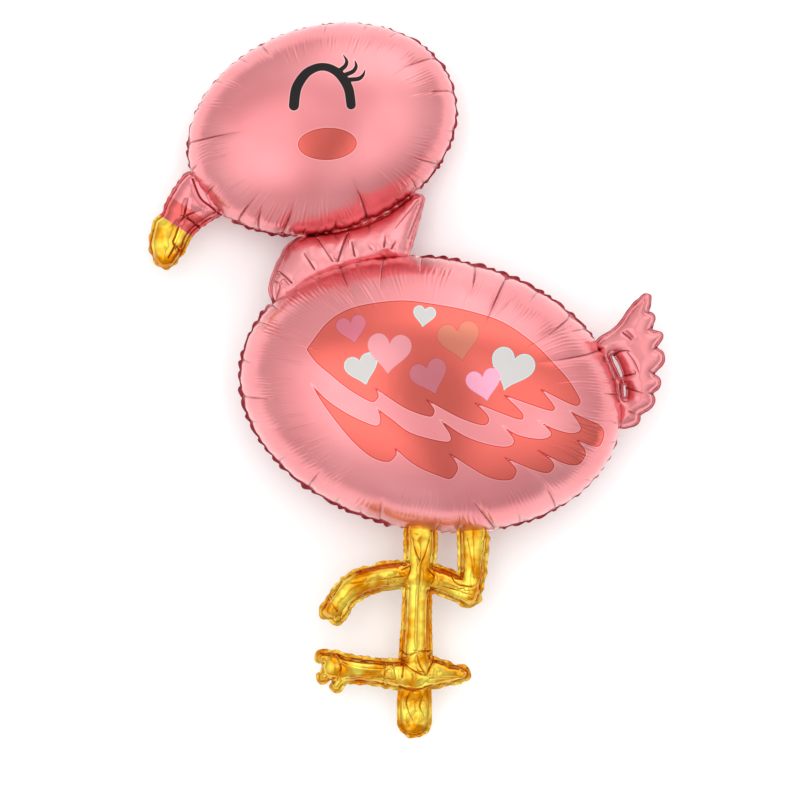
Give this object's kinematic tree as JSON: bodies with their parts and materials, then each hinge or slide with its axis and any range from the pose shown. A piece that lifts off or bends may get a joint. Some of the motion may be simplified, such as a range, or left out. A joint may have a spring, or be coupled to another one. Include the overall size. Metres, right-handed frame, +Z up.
{
  "type": "flamingo foil balloon",
  "caption": "Inflated foil balloon shaped as a standing flamingo, with puffed oval body and head, short neck, fan tail, gold beak and gold legs, lying on its back.",
  "frame": {"origin": "centre of the base of the bounding box, on the surface that the balloon lies on", "axes": "+X to the bird's tail side, +Y from the feet to the head, +Z up out of the printed front"},
  "size_m": [0.6854, 0.9446, 0.2131],
  "materials": {
    "pink_foil": "satin pearl metallised film",
    "gold_foil": "glossy metallised film"
  },
  "bodies": {
    "root": {"flamingo_balloon": "pink_foil"}
  },
  "joints": []
}
